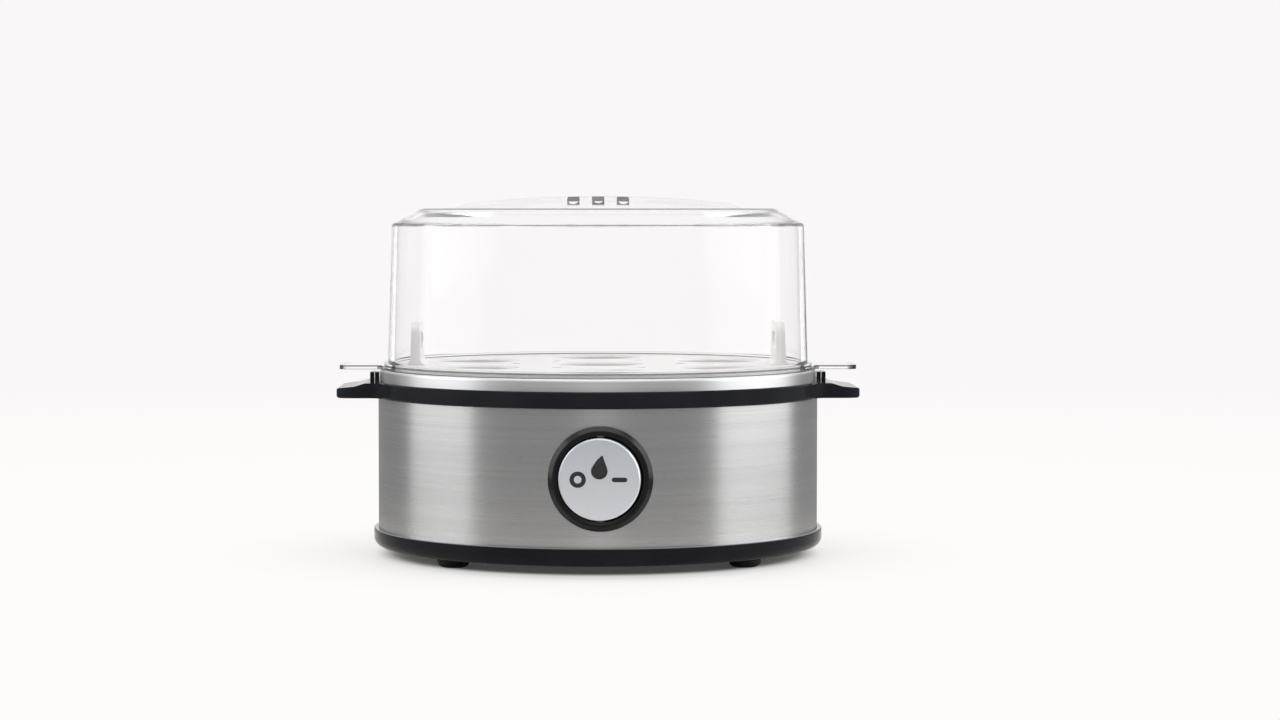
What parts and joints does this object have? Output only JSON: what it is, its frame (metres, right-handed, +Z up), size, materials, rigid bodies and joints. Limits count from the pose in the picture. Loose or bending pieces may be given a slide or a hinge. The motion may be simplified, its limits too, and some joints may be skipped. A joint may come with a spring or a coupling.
{
  "type": "egg cooker",
  "caption": "Round electric egg cooker: brushed steel drum, black base and handle ring, water basin with heater, egg tray, rocker switch and clear lid with steam holes.",
  "frame": {"origin": "on the table under the middle of the drum", "axes": "+Z up, -Y towards the front with the switch, +X towards the right-hand handle"},
  "size_m": [0.2008, 0.18, 0.1388],
  "materials": {
    "black_plastic": "moulded, fine matt grain",
    "black_gloss": "moulded, semi-gloss",
    "rubber": "moulded, matt",
    "silicone": "moulded silicone",
    "brushed_steel": "brushed round the drum",
    "satin_steel": "satin, turned",
    "tube_steel": "drawn and annealed",
    "plated_steel": "zinc plated",
    "aluminium": "die cast or rolled",
    "porcelain": "glazed steatite",
    "glass_sleeve": "braided glass fibre",
    "white_plastic": "moulded",
    "silver_plastic": "silver lacquer on moulded plastic",
    "smoked_lens": "smoked translucent",
    "lamp_glass": "clear",
    "copper": "rolled copper alloy",
    "brass": "stamped",
    "frosted_plastic": "translucent, light grey",
    "clear_plastic": "clear, polished"
  },
  "bodies": {
    "root": {"base_pan": "black_plastic", "foot_front_left": "rubber", "foot_front_right": "rubber", "foot_rear_left": "rubber", "foot_rear_right": "rubber", "body_shell": "brushed_steel", "handle_ring": "black_plastic", "rim_gasket": "silicone", "water_basin": "satin_steel", "heat_spreader": "aluminium", "heating_element": "tube_steel", "terminal_beads": "porcelain", "terminal_pins": "plated_steel", "standoffs": "plated_steel", "tie_screws": "plated_steel", "heat_shield": "aluminium", "thermostat": "porcelain", "thermostat_clip": "plated_steel", "clip_screws": "plated_steel", "thermal_fuse": "brass", "fuse_sleeve": "glass_sleeve", "fuse_clip": "plated_steel", "fuse_screw": "plated_steel", "switch_bezel": "black_gloss", "switch_housing": "black_plastic", "common_terminal": "brass", "fixed_terminals": "brass", "terminal_block": "white_plastic", "terminal_inserts": "brass", "terminal_screws": "plated_steel", "cord_bush": "rubber", "wiring": "glass_sleeve"},
    "rocker": {"switch_rocker": "silver_plastic", "indicator_lens": "smoked_lens", "indicator_lamp": "lamp_glass", "switch_plunger": "white_plastic", "plunger_spring": "plated_steel"},
    "contact": {"contact_lever": "copper"},
    "tray": {"egg_tray": "frosted_plastic"},
    "lid": {"lid": "clear_plastic"}
  },
  "joints": [
    {"name": "tray_lift", "type": "slide", "parent": "root", "child": "tray", "axis": [0, 0, 1], "range_m": [0, 0.035]},
    {"name": "lid_lift", "type": "slide", "parent": "tray", "child": "lid", "axis": [0, 0, 1], "range_m": [0, 0.075]},
    {"name": "rocker_tilt", "type": "hinge", "parent": "root", "child": "rocker", "pos_m": [0, -0.0824, 0.03655], "axis": [0, 0, 1], "range_deg": [0, 8]},
    {"name": "contact_tilt", "type": "hinge", "parent": "root", "child": "contact", "pos_m": [0, -0.0676, 0.03355], "axis": [0, 0, 1], "range_deg": [-16, 0]}
  ],
  "couplings": [
    {"joint": "contact_tilt", "follows": "rocker_tilt", "ratio": -2}
  ]
}
